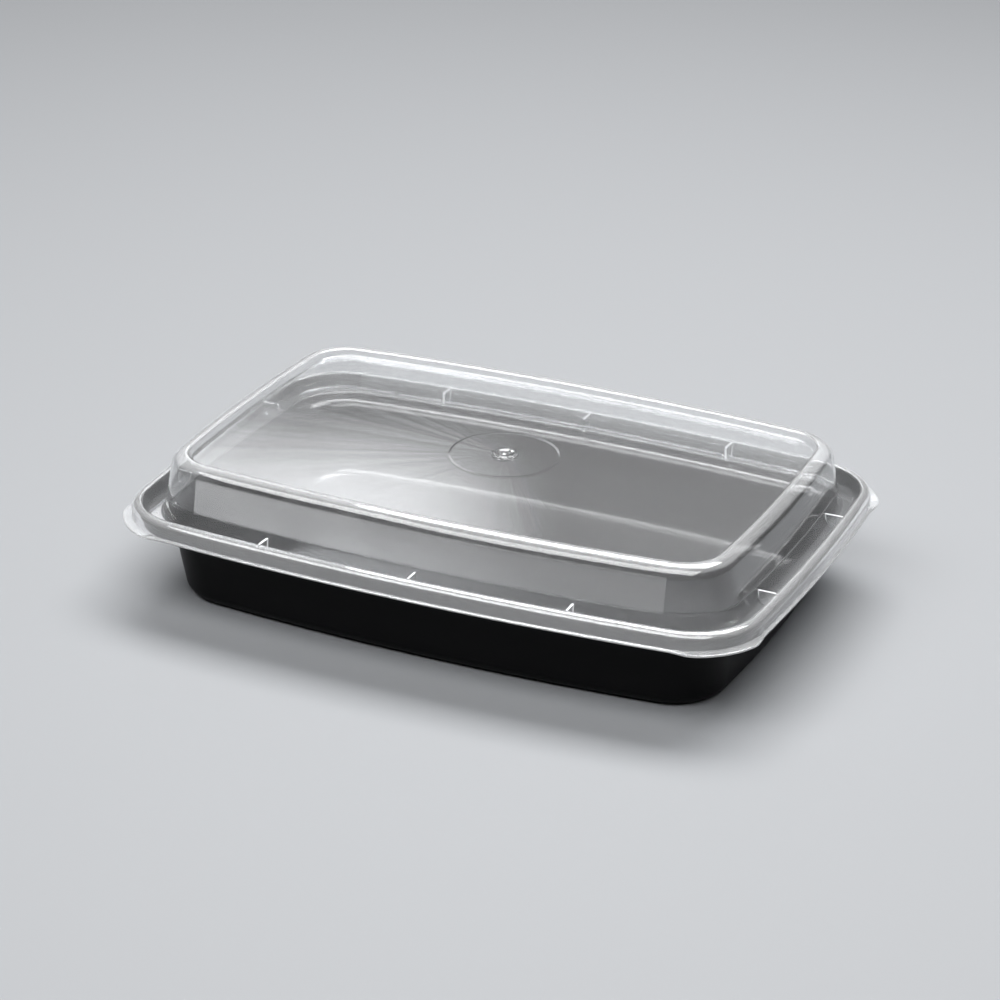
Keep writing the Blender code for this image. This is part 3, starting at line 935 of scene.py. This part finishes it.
class CONTAINER_OT_build_lid(bpy.types.Operator):
    """Build the clear lid with its ribs and round marks."""

    bl_idname = "container.build_lid"
    bl_label = "Build Lid"

    def execute(self, context):
        sizes = context.scene.container_sizes
        colours, surface = context.scene.container_colours, surface_group()
        # Copies of the clear plastic: the milkier edges, wall, ribs and back are painted light
        materials = (
            clear_plastic("clear_plastic", colours, surface, colours.lid_clearness, skin=0.10),
            clear_plastic("clear_plastic_edges", colours, surface, colours.edge_clearness_with_painted_light),
            # The front wall's colour darkens to the right as painted shade
            clear_plastic("clear_plastic_wall", colours, surface, colours.wall_clearness_with_painted_light,
                          skin=0.04, dullest_tone_and_shade=0.6, shade_to_right=True),
            clear_plastic("clear_plastic_ribs", colours, surface, colours.rib_clearness_with_painted_light),
            clear_plastic("clear_plastic_back", colours, surface, colours.back_clearness_with_painted_light))
        item = loft("lid_shell", lid_stretches(sizes), materials)
        ribs = []
        for sign in (-1, 1):
            for number, place in enumerate(LONG_SIDE_RIBS):
                ribs.append(make_rib(sizes, f"rib_long_{sign}_{number}", place, True, sign, materials))
            for number, place in enumerate(SHORT_SIDE_RIBS):
                ribs.append(make_rib(sizes, f"rib_short_{sign}_{number}", place, False, sign, materials))
        mark = make_mark("panel_mark", PANEL_MARK, sizes.crest - sizes.panel_drop, materials)
        join_by_union(item, ribs + [mark])
        dress(item, "lid")
        return {"FINISHED"}


def aim(item, place, target):
    """Put an object at a place, looking at a target."""
    item.location = place
    item.rotation_euler = (Vector(target) - Vector(place)).to_track_quat("-Z", "Y").to_euler()


def softbox(name, place, size, power):
    """Rectangular area light that looks at the container."""
    light = bpy.data.lights.new(name, "AREA")
    light.shape = "RECTANGLE"
    light.size, light.size_y = size
    light.energy = power
    item = bpy.data.objects.new(name, light)
    bpy.context.scene.collection.objects.link(item)
    aim(item, place, SOFTBOX_TARGET)


def soft_step(nodes, value, low, high, top):
    """Smooth ramp from 0 at the low value to the top at the high one."""
    ramp = nodes.add("ShaderNodeMapRange", interpolation_type="SMOOTHSTEP")
    nodes.link(value, ramp.inputs["Value"])
    ramp.inputs["From Min"].default_value = low
    ramp.inputs["From Max"].default_value = high
    ramp.inputs["To Max"].default_value = top
    return ramp.outputs[0]


def glow(nodes, ray, turn, rise, inner, outer, strength):
    """Soft round glow in the room's light, at a turn from +Y towards -X and a rise above the horizon."""
    turn, rise = math.radians(turn), math.radians(rise)
    dot = nodes.add("ShaderNodeVectorMath", operation="DOT_PRODUCT")
    nodes.link(ray, dot.inputs[0])
    dot.inputs[1].default_value = (
        -math.sin(turn) * math.cos(rise), math.cos(turn) * math.cos(rise), math.sin(rise))
    low, high = math.cos(math.radians(outer)), math.cos(math.radians(inner))
    return soft_step(nodes, dot.outputs["Value"], low, high, strength)


def studio_world(settings):
    """Even room light with soft glows behind the container."""
    world = bpy.data.worlds.new("studio_world")
    world.use_nodes = True
    nodes = Nodes(world.node_tree)
    ray = nodes.add("ShaderNodeTexCoord").outputs["Generated"]
    sky = world.node_tree.nodes["Background"]
    sky.inputs["Color"].default_value = ROOM_TINT
    wide = glow(nodes, ray, *WIDE_GLOW, settings.back_glow)
    left = glow(nodes, ray, *LEFT_GLOW, settings.left_glow)
    split = nodes.add("ShaderNodeSeparateXYZ")
    nodes.link(ray, split.inputs[0])
    low, high = (math.sin(math.radians(rise)) for rise in GLOW_BOTTOM)
    lower_edge = soft_step(nodes, split.outputs["Z"], low, high, 1.0)
    both = nodes.math("MULTIPLY", nodes.math("ADD", wide, left), lower_edge)
    total = nodes.math("ADD", both, settings.world_light)
    nodes.link(total, sky.inputs["Strength"])
    return world


def studio_floor(colour):
    """Large plain floor with a faint mottle."""
    mesh = bmesh.new()
    bmesh.ops.create_grid(mesh, x_segments=2, y_segments=2, size=FLOOR_HALF_SIZE)
    material, nodes, shader = new_material("floor_paint")
    item = object_from("studio_floor", mesh, (material,))
    noise = nodes.add("ShaderNodeTexNoise")
    noise.inputs["Scale"].default_value = FLOOR_MOTTLE_SCALE
    darker = scaled(colour, FLOOR_DARKEST)
    nodes.link(tinted(nodes, noise.outputs["Fac"], darker, tuple(colour)), shader.inputs["Base Color"])
    shader.inputs["Roughness"].default_value = FLOOR_ROUGHNESS


def studio_camera(settings, height):
    """Camera at the viewing angle of the studio settings."""
    turn, rise, roll = settings.azimuth, settings.elevation, settings.roll
    back = Vector((math.sin(turn) * math.cos(rise), -math.cos(turn) * math.cos(rise), math.sin(rise)))
    level = Vector((math.cos(turn), math.sin(turn), 0.0))
    upright = back.cross(level)
    right = math.cos(roll) * level + math.sin(roll) * upright
    up = -math.sin(roll) * level + math.cos(roll) * upright
    data = bpy.data.cameras.new("studio_camera")
    data.lens = settings.lens
    data.sensor_width = SENSOR_WIDTH
    item = bpy.data.objects.new("studio_camera", data)
    bpy.context.scene.collection.objects.link(item)
    place = right * settings.slide_right + up * settings.slide_up + back * settings.distance
    place += Vector((0.0, 0.0, height))
    turned = Matrix((right, up, back)).transposed().to_4x4()
    item.matrix_world = Matrix.Translation(place) @ turned
    bpy.context.scene.camera = item


class CONTAINER_OT_build_stage(bpy.types.Operator):
    """Build the floor, the soft lights and the camera."""

    bl_idname = "container.build_stage"
    bl_label = "Build Stage"

    def execute(self, context):
        scene = context.scene
        settings = scene.container_studio
        studio_floor(settings.floor_colour)
        softbox("top_softbox", *TOP_SOFTBOX, settings.top_light)
        softbox("front_softbox", *FRONT_SOFTBOX, settings.front_light)
        scene.world = studio_world(settings)
        scene.view_settings.view_transform = "Standard"
        scene.cycles.max_bounces = MAX_BOUNCES
        scene.cycles.transmission_bounces = CLEAR_BOUNCES
        scene.cycles.transparent_max_bounces = CLEAR_BOUNCES
        studio_camera(settings, scene.container_sizes.flange)
        return {"FINISHED"}


class CONTAINER_PT_panel(bpy.types.Panel):
    """Sizes, colours and build buttons of the container."""

    bl_idname = "CONTAINER_PT_panel"
    bl_label = "Meal Container"
    bl_space_type = "VIEW_3D"
    bl_region_type = "UI"
    bl_category = "Container"

    def draw(self, context):
        for group in (context.scene.container_sizes, context.scene.container_colours,
                      context.scene.container_studio):
            box = self.layout.box()
            for key in group.__annotations__:
                box.prop(group, key)
        for operator in OPERATORS:
            self.layout.operator(operator.bl_idname)


GROUPS = {
    "container_sizes": ContainerSizes,
    "container_colours": ContainerColours,
    "container_studio": StudioSettings,
}
OPERATORS = (CONTAINER_OT_build_stage, CONTAINER_OT_build_tray, CONTAINER_OT_build_lid)


def register():
    """Register the classes and their settings."""
    for item in (*GROUPS.values(), *OPERATORS, CONTAINER_PT_panel):
        bpy.utils.register_class(item)
    for name, group in GROUPS.items():
        setattr(bpy.types.Scene, name, bpy.props.PointerProperty(type=group))


def unregister():
    """Remove the classes and their settings."""
    for name in GROUPS:
        delattr(bpy.types.Scene, name)
    for item in (CONTAINER_PT_panel, *reversed(OPERATORS), *reversed(GROUPS.values())):
        bpy.utils.unregister_class(item)


def main():
    """Build the stage, the tray and the lid."""
    register()
    bpy.ops.container.build_stage()
    bpy.ops.container.build_tray()
    bpy.ops.container.build_lid()


if __name__ == "__main__":
    main()
